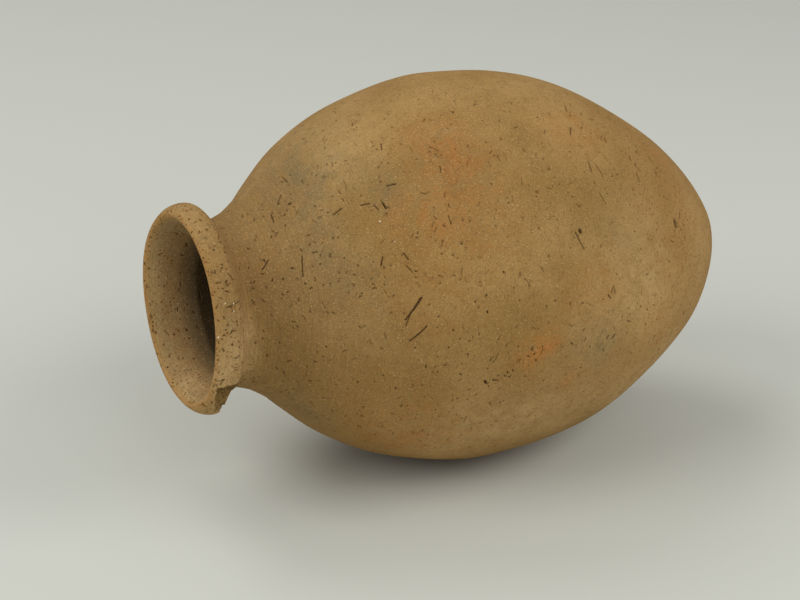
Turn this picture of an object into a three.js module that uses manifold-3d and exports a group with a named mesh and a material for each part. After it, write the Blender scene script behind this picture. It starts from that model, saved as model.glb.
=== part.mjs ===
// Ovoid jar: a hand-built, chaff-tempered earthenware storage jar, lying on its side as found.
// Millimetres, +Z up. The jar's axis runs along X with the mouth at -X and the pointed base at +X.
// The pot was raised in six stages of clay, each luted to the one before with a film of slip.
// Heights below are measured along the jar's own axis, from the tip of the base to the lip.
import * as THREE from 'three';
import { mergeVertices } from 'three/addons/utils/BufferGeometryUtils.js';
import Module from 'manifold-3d';

const wasm = await Module();
wasm.setup();

// Driving dimensions of the body
const BELLY_HEIGHT = 158;
const BELLY_RADIUS = 101.2;
const NECK_FOOT_HEIGHT = 266;
const NECK_FOOT_RADIUS = 52.5;

// Driving dimensions of the neck and the rolled rim
const NECK_RADIUS = 42.4;
const NECK_LENGTH = 24;
const RIM_LENGTH = 19;
const RIM_RADIUS = 52.6;
const LIP_RADIUS = 48.5;
const LIP_ROUNDING = 3.2;
const THROAT_LIP = 0.3;

// Thickness of the clay
const WALL = 6.5;
const BASE_WALL = 9.5;

// Height of each luted joint on the outside, and how far it climbs on its way in
const BASE_JOINT = 58;
const LOWER_JOINT = 122;
const BELLY_JOINT = 192;
const SHOULDER_JOINT = 258;
const JOINT_CLIMB = 5;
const SLIP_FILM = 0.4;

// How the jar lies: the mouth end is raised a little, and the belly has a small worn flat
const LYING_TILT = THREE.MathUtils.degToRad(2.5);
const WORN_FLAT_DEPTH = 0.5;

// The piece broken out of the back of the rim, on the lower near side. Its floor is a flat break
// this deep under the rim, and its outline runs along the rim and down from the lip
const CHIP_BEARING = THREE.MathUtils.degToRad(230);
const CHIP_DEPTH = 7.1;
const CHIP_REACH = 15;
const CHIP_OUTLINE = [
  [-13.5, 24],
  [-13.5, 6.4],
  [-4.5, 5.4],
  [5, 4.8],
  [11.5, 5],
  [15, 9],
  [16, 24],
];

// How finely the rings of clay are drawn
const SIDES = 60;
const BODY_STEP = 13;
const NECK_STEPS = 6;
const RIM_STEPS = 7;
const MOUTH_STEPS = 5;
const TIP_SHARES = [0, 0.04, 0.12, 0.25, 0.45, 0.7, 1];
const FLAT_BLOCK = 80;

const CLAY_COLOUR = '#9c7a52';
const CLAY_ROUGHNESS = 0.93;

// Share of the belly's height and share of its radius, from the tip to the belly
const LOWER_BODY = [
  [0, 0],
  [0.012, 0.13],
  [0.07, 0.325],
  [0.21, 0.545],
  [0.39, 0.742],
  [0.61, 0.902],
  [0.81, 0.978],
  [1, 1],
];

// Share of the way from belly to neck foot, and share of the narrowing done by then
const UPPER_BODY = [
  [0.16, 0.023],
  [0.36, 0.122],
  [0.56, 0.275],
  [0.76, 0.53],
  [0.9, 0.79],
  [1, 1],
];

const NECK_TOP = NECK_FOOT_HEIGHT + NECK_LENGTH;
const LIP_HEIGHT = NECK_TOP + RIM_LENGTH;
const THROAT_RADIUS = NECK_RADIUS - WALL - THROAT_LIP;

function bodyOutline() {
  const narrowing = BELLY_RADIUS - NECK_FOOT_RADIUS;
  const rise = NECK_FOOT_HEIGHT - BELLY_HEIGHT;
  const lower = LOWER_BODY.map(([up, out]) => new THREE.Vector2(out * BELLY_RADIUS, up * BELLY_HEIGHT));
  const upper = UPPER_BODY.map(
    ([up, drop]) => new THREE.Vector2(BELLY_RADIUS - drop * narrowing, BELLY_HEIGHT + up * rise),
  );
  return new THREE.SplineCurve([...lower, ...upper]).getPoints(400);
}

// The waist of the neck lies just under the rim, and its foot spreads to meet the shoulder
function neckOutline() {
  const foot = new THREE.Vector2(NECK_FOOT_RADIUS, NECK_FOOT_HEIGHT);
  const middle = new THREE.Vector2((NECK_FOOT_RADIUS + 2 * NECK_RADIUS) / 3, NECK_FOOT_HEIGHT + 0.45 * NECK_LENGTH);
  const waist = new THREE.Vector2(NECK_RADIUS, NECK_TOP - 0.12 * NECK_LENGTH);
  const top = new THREE.Vector2(NECK_RADIUS, NECK_TOP);
  return new THREE.SplineCurve([foot, middle, waist, top]).getPoints(80);
}

// The rim turns outwards to its greatest radius at mid depth, then rounds over to the lip
function rimOutline() {
  const turn = RIM_RADIUS - NECK_RADIUS;
  const points = [
    new THREE.Vector2(NECK_RADIUS, NECK_TOP),
    new THREE.Vector2(NECK_RADIUS + 0.42 * turn, NECK_TOP + 0.2 * RIM_LENGTH),
    new THREE.Vector2(RIM_RADIUS - 0.1 * turn, NECK_TOP + 0.4 * RIM_LENGTH),
    new THREE.Vector2(RIM_RADIUS, NECK_TOP + 0.62 * RIM_LENGTH),
    new THREE.Vector2(RIM_RADIUS - 0.12 * turn, NECK_TOP + 0.85 * RIM_LENGTH),
    new THREE.Vector2(LIP_RADIUS, LIP_HEIGHT),
  ];
  return new THREE.SplineCurve(points).getPoints(80);
}

// Down the inside from the lip to the throat, which is narrowest level with the neck's top
function mouthInside() {
  const flare = LIP_RADIUS - THROAT_RADIUS;
  const points = [
    new THREE.Vector2(LIP_RADIUS, LIP_HEIGHT),
    new THREE.Vector2(LIP_RADIUS - 0.8 * LIP_ROUNDING, LIP_HEIGHT - 0.5 * LIP_ROUNDING),
    new THREE.Vector2(THROAT_RADIUS + 0.42 * flare, LIP_HEIGHT - 0.42 * RIM_LENGTH),
    new THREE.Vector2(THROAT_RADIUS + 0.1 * flare, LIP_HEIGHT - 0.8 * RIM_LENGTH),
    new THREE.Vector2(THROAT_RADIUS, NECK_TOP - 0.2 * NECK_LENGTH),
  ];
  return new THREE.SplineCurve(points).getPoints(80);
}

// Moves an outline inwards by the thickness of the wall, square to the surface
function moveIn(outline, thickness) {
  const inside = [];
  for (let i = 0; i < outline.length; i += 1) {
    const before = outline[Math.max(i - 1, 0)];
    const after = outline[Math.min(i + 1, outline.length - 1)];
    const along = after.clone().sub(before).normalize();
    const wall = thickness(outline[i].y);
    inside.push(new THREE.Vector2(outline[i].x - along.y * wall, outline[i].y + along.x * wall));
  }
  inside[0].x = 0;
  return inside.filter((point) => point.x >= 0);
}

// The base is thicker than the wall and thins out to it by the first joint
function thicknessAt(height) {
  const share = THREE.MathUtils.clamp(1 - height / BASE_JOINT, 0, 1);
  return WALL + (BASE_WALL - WALL) * share;
}

function radiusAt(curve, height) {
  for (let i = 1; i < curve.length; i += 1) {
    const low = curve[i - 1];
    const high = curve[i];
    if (low.y < high.y && low.y <= height && high.y >= height) {
      return THREE.MathUtils.mapLinear(height, low.y, high.y, low.x, high.x);
    }
  }
  return curve[curve.length - 1].x;
}

const bodyOutside = bodyOutline();
const outside = [...bodyOutside, ...neckOutline().slice(1), ...rimOutline().slice(1)];
const bodyInside = moveIn([...bodyOutside, ...neckOutline().slice(1)], thicknessAt).filter(
  (point) => point.y < NECK_TOP - 0.45 * NECK_LENGTH,
);
const inside = [...bodyInside, ...mouthInside().reverse()];

// Points on one curve from one height to another, both ends included
function stretch(curve, from, to, steps) {
  const points = [];
  for (let i = 0; i <= steps; i += 1) {
    const height = THREE.MathUtils.lerp(from, to, i / steps);
    points.push(new THREE.Vector2(radiusAt(curve, height), height));
  }
  return points;
}

// One ring of clay between two luted joints, each slanting up on its way through the wall
function ring(bottom, top, steps) {
  const outer = stretch(outside, bottom + SLIP_FILM, top, steps);
  const inner = stretch(inside, bottom + JOINT_CLIMB + SLIP_FILM, top + JOINT_CLIMB, steps).reverse();
  return new THREE.LatheGeometry([...outer, ...inner, outer[0].clone()], SIDES);
}

// The base is a pinched bowl, closed at the tip, so its outline starts and ends on the axis
function baseBowl() {
  const outer = TIP_SHARES.map((share) => {
    const height = share * BASE_JOINT;
    return new THREE.Vector2(radiusAt(outside, height), height);
  });
  const innerTip = inside[0].y;
  const innerTop = BASE_JOINT + JOINT_CLIMB;
  const inner = TIP_SHARES.map((share) => {
    const height = THREE.MathUtils.lerp(innerTip, innerTop, share);
    return new THREE.Vector2(radiusAt(inside, height), height);
  });
  outer[0].x = 0;
  inner[0].x = 0;
  return new THREE.LatheGeometry([...outer, ...inner.reverse()], SIDES);
}

// The rim carries the lip, so its outline goes up the outside, over the lip and down the inside
function rimRing() {
  const outer = stretch(outside, NECK_TOP + SLIP_FILM, LIP_HEIGHT, RIM_STEPS);
  const inner = stretch(inside, NECK_TOP + JOINT_CLIMB + SLIP_FILM, LIP_HEIGHT, MOUTH_STEPS).reverse();
  return new THREE.LatheGeometry([...outer, ...inner.slice(1), outer[0].clone()], SIDES);
}

function toSolid(geometry) {
  const bare = geometry.clone();
  bare.deleteAttribute('normal');
  bare.deleteAttribute('uv');
  const merged = mergeVertices(bare, 1e-4);
  return new wasm.Manifold(
    new wasm.Mesh({
      numProp: 3,
      vertProperties: new Float32Array(merged.attributes.position.array),
      triVerts: new Uint32Array(merged.index.array),
    }),
  );
}

function toGeometry(solid) {
  const mesh = solid.getMesh();
  const geometry = new THREE.BufferGeometry();
  geometry.setAttribute('position', new THREE.BufferAttribute(new Float32Array(mesh.vertProperties), 3));
  geometry.setIndex(new THREE.BufferAttribute(new Uint32Array(mesh.triVerts), 1));
  geometry.computeVertexNormals();
  return geometry;
}

function cut(geometry, tool) {
  return toGeometry(toSolid(geometry).subtract(toSolid(tool)));
}

// Stands the jar's axis along -X and lifts the mouth by the lying tilt
const toLying = new THREE.Matrix4()
  .makeRotationY(LYING_TILT)
  .multiply(new THREE.Matrix4().makeRotationZ(Math.PI / 2));

// A block whose top is the worn flat, placed under the lowest stretch of the belly
function flatCutter() {
  const reach = outside.map((point) => point.x * Math.cos(LYING_TILT) - point.y * Math.sin(LYING_TILT));
  const lowest = Math.max(...reach);
  const touch = outside[reach.indexOf(lowest)];
  const geometry = new THREE.BoxGeometry(FLAT_BLOCK, FLAT_BLOCK, FLAT_BLOCK);
  const along = -touch.y * Math.cos(LYING_TILT) - touch.x * Math.sin(LYING_TILT);
  geometry.translate(along, 0, -lowest + WORN_FLAT_DEPTH - FLAT_BLOCK / 2);
  return geometry.applyMatrix4(toLying.clone().invert());
}

// A plug with the chip's outline, driven in from outside as far as the break's floor
function chipCutter() {
  const outline = CHIP_OUTLINE.map(([along, below]) => new THREE.Vector2(along, LIP_HEIGHT - below));
  const plug = new THREE.ExtrudeGeometry(new THREE.Shape(outline), { depth: CHIP_REACH, bevelEnabled: false });
  plug.translate(0, 0, RIM_RADIUS - CHIP_DEPTH);
  return plug.applyMatrix4(new THREE.Matrix4().makeRotationY(CHIP_BEARING));
}

const bodyRing = (from, to) => ring(from, to, Math.round((to - from) / BODY_STEP));
const pieces = {
  base: baseBowl(),
  lower_wall: bodyRing(BASE_JOINT, LOWER_JOINT),
  belly: cut(bodyRing(LOWER_JOINT, BELLY_JOINT), flatCutter()),
  shoulder: bodyRing(BELLY_JOINT, SHOULDER_JOINT),
  neck: ring(SHOULDER_JOINT, NECK_TOP, NECK_STEPS),
  rim: cut(rimRing(), chipCutter()),
};

const jar = new THREE.Group();
for (const [name, geometry] of Object.entries(pieces)) {
  const clay = new THREE.MeshStandardMaterial({ color: CLAY_COLOUR, roughness: CLAY_ROUGHNESS, metalness: 0 });
  const piece = new THREE.Mesh(geometry, clay);
  piece.name = name;
  jar.add(piece);
}
jar.applyMatrix4(toLying);

// The worn flat rests on the ground, with the jar's box centred over the origin
const lying = new THREE.Group();
lying.add(jar);
lying.updateMatrixWorld(true);
const box = new THREE.Box3().setFromObject(lying, true);
const middle = box.getCenter(new THREE.Vector3());
jar.position.sub(new THREE.Vector3(middle.x, middle.y, box.min.z));

export default lying;
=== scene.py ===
import math

import bmesh
import bpy
import numpy as np
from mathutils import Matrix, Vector, noise


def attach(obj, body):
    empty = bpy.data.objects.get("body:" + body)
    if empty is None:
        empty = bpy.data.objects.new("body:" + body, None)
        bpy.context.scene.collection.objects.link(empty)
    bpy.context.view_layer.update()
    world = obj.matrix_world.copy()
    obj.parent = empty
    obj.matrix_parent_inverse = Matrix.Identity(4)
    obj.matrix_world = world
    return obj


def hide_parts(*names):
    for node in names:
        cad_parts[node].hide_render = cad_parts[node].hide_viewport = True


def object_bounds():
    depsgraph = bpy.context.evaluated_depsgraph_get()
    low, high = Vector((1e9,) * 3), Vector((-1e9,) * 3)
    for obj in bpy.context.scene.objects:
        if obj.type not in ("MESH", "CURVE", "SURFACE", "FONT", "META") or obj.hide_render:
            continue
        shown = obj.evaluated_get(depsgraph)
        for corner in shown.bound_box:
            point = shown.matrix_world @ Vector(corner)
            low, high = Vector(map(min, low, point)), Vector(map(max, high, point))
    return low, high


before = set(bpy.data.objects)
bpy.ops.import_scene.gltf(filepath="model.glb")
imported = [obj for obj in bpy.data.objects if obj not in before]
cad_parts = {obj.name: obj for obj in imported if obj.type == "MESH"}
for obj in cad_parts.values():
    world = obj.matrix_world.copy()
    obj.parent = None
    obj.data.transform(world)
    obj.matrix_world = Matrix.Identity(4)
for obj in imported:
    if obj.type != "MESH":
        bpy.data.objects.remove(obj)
cad_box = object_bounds()

# The wall of the jar, raised by hand in six stages of clay, from the pinched base to the out-turned
# rim. It is buff earthenware mixed with chopped straw. Each stage was luted to the one below with
# slip and wiped smooth, and the straw burnt out in the firing and left its hollows.
MM = 0.001
STAGES = ["base", "lower_wall", "belly", "shoulder", "neck", "rim"]
JOINTS = [58, 122, 192, 258, 290]
JOINT_CLIMB = 5
BELLY_HEIGHT, BELLY_RADIUS = 158, 101.2
NECK_FOOT_HEIGHT, NECK_FOOT_RADIUS = 266, 52.5
NECK_RADIUS, NECK_TOP = 42.4, 290
RIM_RADIUS, RIM_LENGTH = 52.6, 19
LIP_RADIUS, LIP_HEIGHT = 48.3, 308.9
THROAT_RADIUS = 35.6
WALL, BASE_WALL = 6.5, 9.5
LYING_TILT = math.radians(2.5)

# The outline's points. Below the belly: share of its height, and of its radius. Above it: share of
# the way to the foot of the neck, and of the narrowing done by then. On the neck: share of the way
# up it, and of its foot's spread that is left. On the rim: share of its length up from the neck, or
# down from the lip, and share of the way out. The throat and the even wall inside end at a share of
# the neck's length below its top
LOWER_BODY = [
    (0, 0), (0.012, 0.13), (0.07, 0.325), (0.21, 0.545), (0.39, 0.742), (0.61, 0.902), (0.81, 0.978),
    (1, 1),
]
UPPER_BODY = [(0.16, 0.023), (0.36, 0.122), (0.56, 0.275), (0.76, 0.53), (0.9, 0.79), (1, 1)]
NECK = [(0, 1), (0.45, 1 / 3), (0.88, 0), (1, 0)]
RIM_OUTSIDE = [(0, 0), (0.2, 0.42), (0.4, 0.9), (0.62, 1), (0.85, 0.88)]
RIM_INSIDE = [(0.09, 0.78), (0.42, 0.42), (0.8, 0.1)]
THROAT_TOP, EVEN_WALL_TOP = 0.2, 0.45
BODY_POINTS, NECK_POINTS, RIM_POINTS = 500, 80, 200

# The sheet of clay is drawn in cells this wide (mm), and a cell with a hollow in it is cut this
# many times each way
CELLS_ROUND = 408
OUTER_CELL = {"base": 1.5, "lower_wall": 1.4, "belly": 1.4, "shoulder": 1.4, "neck": 1.0, "rim": 0.9}
INNER_CELL = {"base": 4.0, "lower_wall": 4.0, "belly": 4.0, "shoulder": 2.6, "neck": 1.1, "rim": 0.9}
CUTS = 3


def through(points, count):
    """Points (radius, height) along a smooth curve through the given ones."""
    p = np.array(points, float)
    t = np.linspace(0, len(p) - 1, count)
    i = np.minimum(t.astype(int), len(p) - 2)
    w = (t - i)[:, None]
    start, end = p[i], p[i + 1]
    leave = (end - p[np.maximum(i - 1, 0)]) / 2
    arrive = (p[np.minimum(i + 2, len(p) - 1)] - start) / 2
    bend = 2 * (start - end) + leave + arrive
    swing = 3 * (end - start) - 2 * leave - arrive
    return bend * w**3 + swing * w**2 + leave * w + start


def wall_outline():
    """The section of the clay: up the outside from tip to lip, and its way back down the inside."""
    narrowing = BELLY_RADIUS - NECK_FOOT_RADIUS
    rise = NECK_FOOT_HEIGHT - BELLY_HEIGHT
    neck_length = NECK_TOP - NECK_FOOT_HEIGHT
    foot_spread = NECK_FOOT_RADIUS - NECK_RADIUS
    turn_out = RIM_RADIUS - NECK_RADIUS
    flare = LIP_RADIUS - THROAT_RADIUS
    body = [(out * BELLY_RADIUS, up * BELLY_HEIGHT) for up, out in LOWER_BODY]
    body += [(BELLY_RADIUS - drop * narrowing, BELLY_HEIGHT + up * rise) for up, drop in UPPER_BODY]
    neck = [(NECK_RADIUS + left * foot_spread, NECK_FOOT_HEIGHT + up * neck_length) for up, left in NECK]
    rim = [(NECK_RADIUS + out * turn_out, NECK_TOP + up * RIM_LENGTH) for up, out in RIM_OUTSIDE]
    rim += [(LIP_RADIUS, LIP_HEIGHT)]
    rim += [(THROAT_RADIUS + out * flare, LIP_HEIGHT - down * RIM_LENGTH) for down, out in RIM_INSIDE]
    rim += [(THROAT_RADIUS, NECK_TOP - THROAT_TOP * neck_length)]
    under_rim = np.concatenate([through(body, BODY_POINTS), through(neck, NECK_POINTS)[1:]])
    rolled = through(rim, RIM_POINTS)[1:]
    lip = int(np.argmax(rolled[:, 1]))
    along = np.gradient(under_rim, axis=0)
    along /= np.linalg.norm(along, axis=1)[:, None]
    thick = WALL + (BASE_WALL - WALL) * np.clip(1 - under_rim[:, 1] / JOINTS[0], 0, 1)
    inside = under_rim + thick[:, None] * np.stack([-along[:, 1], along[:, 0]], 1)
    inside = inside[(inside[:, 0] > 0) & (under_rim[:, 1] < NECK_TOP - EVEN_WALL_TOP * neck_length)]
    inside[0, 0] = 0
    outside = np.concatenate([under_rim, rolled[:lip + 1]])
    return outside, np.concatenate([rolled[lip + 1:], inside[::-1]])


outside, inside = wall_outline()
outline = np.concatenate([outside, inside])
way = np.concatenate([[0], np.cumsum(np.linalg.norm(np.diff(outline, axis=0), axis=1))])
lip_way, whole_way = way[len(outside) - 1], way[-1]


def way_outside(height):
    return float(np.interp(height, outside[:, 1], way[:len(outside)]))


def way_inside(height):
    return float(np.interp(-height, -inside[:, 1], way[len(outside):]))


def radius_at(places):
    return np.interp(places, way, outline[:, 0])


def sheet_rows():
    """Where each row of cells starts along the outline, and which stage of clay it belongs to."""
    stops = [0] + [way_outside(h) for h in JOINTS] + [lip_way]
    returns = [lip_way] + [way_inside(h + JOINT_CLIMB) for h in reversed(JOINTS)] + [whole_way]
    rows, owners = [], []
    for ends, order, cell in ((stops, range(6), OUTER_CELL), (returns, range(5, -1, -1), INNER_CELL)):
        for stage, start, stop in zip(order, ends, ends[1:]):
            count = max(2, round((stop - start) / cell[STAGES[stage]]))
            rows += list(np.linspace(start, stop, count + 1)[:-1])
            owners += [stage] * count
    return np.array(rows + [whole_way]), np.array(owners)


row_ways, row_stages = sheet_rows()

# The hollows: a straw lies at (height, turn) in mm and degrees from the top of the lying jar, leans
# from the way round the jar by some degrees, and is so long, so wide and so deep
STRAW_SEED = 7
LARGE_HOLLOWS = [
    (225, 282, -37, 12.5, 0.55, 0.9), (223, 283.6, -38, 7.5, 0.45, 0.8), (223, 274, -47, 10.5, 0.4, 0.8),
    (227, 279, -23, 7.5, 0.3, 0.5), (264, 305, -11, 9.5, 0.35, 0.6), (235, 299, -21, 4.0, 0.5, 0.7),
    (140, 295, 22, 9.5, 0.4, 0.8), (138.6, 297.6, 20, 0.7, 1.8, 1.8), (66.6, 296.0, 5, 1.8, 3.2, 1.9),
    (60.5, 299.2, -25, 3.2, 0.9, 1.0), (116, 315, 17, 6.0, 0.4, 0.6), (120, 306, 21, 6.0, 0.3, 0.5),
    (121, 316, -7, 5.0, 0.5, 0.7), (89, 320, -7, 2.2, 0.7, 0.8), (70, 322, 14, 3.6, 0.55, 0.7),
    (71, 316, -3, 3.5, 0.8, 0.9), (89, 313, 0, 5.0, 0.4, 0.5), (115, 339, -22, 6.0, 0.35, 0.5),
    (122, 329, -33, 6.0, 0.45, 0.6), (225, 299, 24, 3.5, 0.4, 0.6), (203, 307, 4, 4.0, 0.35, 0.5),
    (190.5, 257.4, 30, 1.6, 1.3, 1.1), (186, 258, 80, 2.5, 0.6, 0.7), (228, 317, 10, 3.0, 0.8, 1.0),
    (235, 320, -103, 4.0, 0.5, 0.7), (246, 322, -77, 4.5, 0.5, 0.7), (256, 354, -1, 6.0, 0.4, 0.5),
    (262, 346, 129, 5.0, 0.4, 0.6), (268, 338, -8, 5.0, 0.45, 0.6), (278, 312, -46, 5.5, 0.4, 0.5),
    (222, 323, -100, 4.0, 0.5, 0.8), (218, 338, -19, 4.0, 0.4, 0.6), (260, 339, 60, 1.2, 0.9, 0.9),
    (300, 292, -76, 8.5, 0.3, 0.4), (180.5, 260.5, 10, 1.2, 0.4, 0.5), (179, 259, -60, 0.8, 0.5, 0.6),
    (178, 261, 20, 1.0, 0.4, 0.5), (181.5, 259.3, 80, 0.6, 0.5, 0.6), (169.5, 267, 40, 1.0, 0.5, 0.6),
    (168, 265.5, -30, 0.7, 0.5, 0.7), (166.5, 263.5, 15, 1.2, 0.45, 0.6), (171, 265, 70, 0.9, 0.5, 0.7),
    (59.3, 290.3, 4, 1.6, 0.8, 0.9), (86.8, 317.6, -25, 2.6, 0.6, 0.7), (85.2, 316, 30, 1.4, 0.6, 0.7),
    (119.5, 264.9, -50, 2.2, 0.9, 0.9), (123.7, 265.3, -45, 1.6, 0.8, 0.9),
    (122.4, 279.7, -32, 3.6, 0.5, 0.6), (124.4, 277.9, 38, 2.8, 0.5, 0.6),
    (84.3, 256.2, -20, 2.8, 0.6, 0.7), (101.8, 325.9, -10, 2.4, 0.7, 0.8),
]

# All other straw falls at random: how far it bends, its least and most length, width and depth in mm,
# and the width from which it is as deep as that. Short bits are crumbs, which are wider
LARGE_BEND, SMALL_BEND = 0.012, 0.05
STRAW_LENGTHS, LENGTH_SPREAD = (0.3, 7.0), 0.5
CRUMB_LENGTH = 1.3
STRAW_WIDTHS, CRUMB_WIDTHS = (0.16, 0.36), (0.3, 0.62)
STRAW_DEPTHS, FULL_DEPTH_WIDTH = (0.25, 0.7), 0.3


def fade(measure, start, end):
    """Goes from 0 where the measure is at its start to 1 at its end."""
    return np.clip((measure - start) / (end - start), 0, 1)


def scatter_straw():
    """Every hollow: way, turn, lean, length, half width, depth, darkness and bend, in mm and radians."""
    random = np.random.default_rng(STRAW_SEED)
    found = []
    for height, turn, lean, length, width, depth in LARGE_HOLLOWS:
        bend = random.uniform(-LARGE_BEND, LARGE_BEND)
        turn, lean = math.radians(turn), math.radians(lean)
        found.append((way_outside(height), turn, lean, length, width / 2, depth, 1.0, bend))

    def sprinkle(count, first, last, crowd, long, lean_spread, dark):
        """Straw over a stretch of the outline: how thick on the ground, long, astray and dark it is."""
        placed = 0
        while placed < count:
            place, turn = random.uniform(first, last), random.uniform(0, 2 * math.pi)
            if random.uniform(0, 1) > radius_at(place) / BELLY_RADIUS * crowd(place, turn):
                continue
            placed += 1
            length = float(np.clip(random.lognormal(math.log(long), LENGTH_SPREAD), *STRAW_LENGTHS))
            width = random.uniform(*(STRAW_WIDTHS if length > CRUMB_LENGTH else CRUMB_WIDTHS))
            lean = random.normal(0, lean_spread)
            depth = random.uniform(*STRAW_DEPTHS) * min(1.0, width / FULL_DEPTH_WIDTH)
            shade = dark + (1 - dark) * random.uniform(0, 1) ** 1.6
            bend = random.uniform(-SMALL_BEND, SMALL_BEND)
            found.append((place, turn, lean, length, width / 2, depth, shade, bend))

    def body_crowd(place, turn):
        """Straw lies in patches, and thicker towards both ends of the body than round its middle."""
        across = Vector((math.cos(turn) * 2.2, math.sin(turn) * 2.2, place / 40))
        patchy = 0.7 + 0.3 * noise.noise(across)
        ends = 0.6 + 0.4 * fade(abs(place - 170), 27, 117)
        return float(np.clip(patchy * 1.3 * ends, 0.05, 1))

    def even(place, turn):
        return 1.0

    shoulder_foot = way_outside(NECK_FOOT_HEIGHT)
    sprinkle(820, 6, shoulder_foot, body_crowd, 1.6, 0.62, 0.4)
    sprinkle(1500, 6, shoulder_foot, body_crowd, 0.45, 1.5, 0.45)
    sprinkle(110, 5, way_outside(80), even, 1.2, 1.0, 0.5)
    sprinkle(170, way_outside(48), way_outside(118), even, 1.2, 0.9, 0.5)
    sprinkle(190, shoulder_foot, way_outside(JOINTS[4]), even, 1.1, 0.8, 0.4)
    sprinkle(390, way_outside(JOINTS[4] + 2), lip_way + 4, even, 1.1, 1.2, 0.55)
    sprinkle(210, lip_way + 3, way_inside(240), even, 1.2, 0.9, 0.5)
    return found


straws = scatter_straw()


def from_straw(straw, places, turns):
    """How far points of the sheet lie from a straw's own line, in mm."""
    place, turn, lean, length, _, _, _, bend = straw
    east = (np.mod(turns - turn + math.pi, 2 * math.pi) - math.pi) * radius_at(place)
    north = places - place
    along = east * math.cos(lean) + north * math.sin(lean)
    across = north * math.cos(lean) - east * math.sin(lean) - bend * (along**2 - length**2 / 8)
    return np.hypot(np.maximum(np.abs(along) - length / 2, 0), across)


def cells_to_cut(chipped):
    """Marks the cells that hold part of a hollow or of the broken edge."""
    search_margin, edge_margin, cell_share = 2, 0.05, 0.72
    step = 2 * math.pi / CELLS_ROUND
    middles = (row_ways[:-1] + row_ways[1:]) / 2
    heights = np.diff(row_ways)
    picked = np.zeros((len(middles), CELLS_ROUND), bool)
    for straw in straws:
        place, turn, _, length, half, *_ = straw
        reach = length / 2 + half + search_margin
        rows = np.arange(*np.searchsorted(middles, (place - reach, place + reach)))
        width = radius_at(place) * step
        span = int(min(reach / width + 1, CELLS_ROUND // 2 - 1))
        columns = int(turn / step) + np.arange(-span, span + 1)
        near = from_straw(straw, middles[rows][:, None], (columns[None, :] + 0.5) * step)
        cell = 0.5 * np.hypot(width, heights[rows])[:, None]
        picked[np.ix_(rows, columns % CELLS_ROUND)] |= near < half + edge_margin + cell_share * cell
    picked |= chipped(middles[:, None], (np.arange(CELLS_ROUND)[None, :] + 0.5) * step)
    edge = picked[:, 0] | picked[:, -1]
    picked[:, 0] |= edge
    picked[:, -1] |= edge
    return picked


# The piece broken out of the back of the rim, low on the near side, and the flake that went with it.
# Each runs between two turns (degrees) and opens over so many degrees at either end. It starts so
# far below the lip at each turn, and leaves the clay this wide at each depth below the lip. Unbroken
# clay is taken to reach further out than the rim does.
BREAKS = [
    ((213.0, 247.0), (1.6, 4.5), [(213, 5.6), (218, 4.8), (225, 3.2), (235, 1.5), (243, 1.0)],
     [(0, 50.0), (2, 49.0), (4, 47.2), (5.5, 45.0), (7, 43.6), (10, 42.9), (14, 42.7), (18, 42.3)]),
    ((190.0, 214.1), (4.0, 0.7), [(190, 9.0), (214, 8.9)],
     [(9, 54.5), (11.8, 45.6), (14, 44.6), (18, 42.3)]),
]
BREAK_BELOW = 17.5
BREAK_STEP = 0.8
UNBROKEN = 13
WIDER_THAN_ANY = 55


def width_left(turns, below):
    """How wide the breaks leave the clay, in mm from the axis."""
    degrees = np.degrees(turns) % 360
    left = np.full(np.broadcast(degrees, below).shape, float(WIDER_THAN_ANY))
    for (first, last), (start, stop), front, floor_line in BREAKS:
        opened = fade(degrees, first, first + start) * fade(degrees, last, last - stop)
        opened = opened * fade(below - np.interp(degrees, *zip(*front)), 0, BREAK_STEP)
        left = np.minimum(left, np.interp(below, *zip(*floor_line)) + UNBROKEN * (1 - opened))
    return left


def near_break(places, turns):
    """Tells where a break lies close by, a little to either side and up or down."""
    below = LIP_HEIGHT - np.interp(places, way, outline[:, 1])
    around = [(aside, fall) for aside in (-0.03, 0, 0.03) for fall in (-1, 1)]
    near = [width_left(turns + aside, below + fall) < WIDER_THAN_ANY for aside, fall in around]
    return (places < lip_way) & (below < BREAK_BELOW + 0.6) & np.any(near, axis=0)


def lay_sheet():
    """The clay as a flat sheet: across it runs the turn round the jar, and up it the way along."""
    turns = np.linspace(0, 2 * math.pi, CELLS_ROUND + 1)
    grid = np.zeros((len(row_ways), CELLS_ROUND + 1, 3))
    grid[:, :, 0] = turns[None, :]
    grid[:, :, 1] = row_ways[:, None] * MM
    corner = np.arange(len(row_ways) * (CELLS_ROUND + 1)).reshape(len(row_ways), -1)
    corners = [corner[:-1, :-1], corner[:-1, 1:], corner[1:, 1:], corner[1:, :-1]]
    faces = np.stack(corners, -1).reshape(-1, 4)
    sheet = bpy.data.meshes.new("clay_sheet")
    sheet.from_pydata(grid.reshape(-1, 3), [], faces)
    owner = sheet.attributes.new("stage", "INT", "FACE")
    owner.data.foreach_set("value", np.repeat(row_stages, CELLS_ROUND).astype(np.int32))
    picked = cells_to_cut(near_break).ravel()
    work = bmesh.new()
    work.from_mesh(sheet)
    work.faces.ensure_lookup_table()
    edges = {edge for i in np.nonzero(picked)[0] for edge in work.faces[i].edges}
    bmesh.ops.subdivide_edges(work, edges=list(edges), cuts=CUTS, use_grid_fill=True)
    work.to_mesh(sheet)
    work.free()
    return sheet


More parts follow.
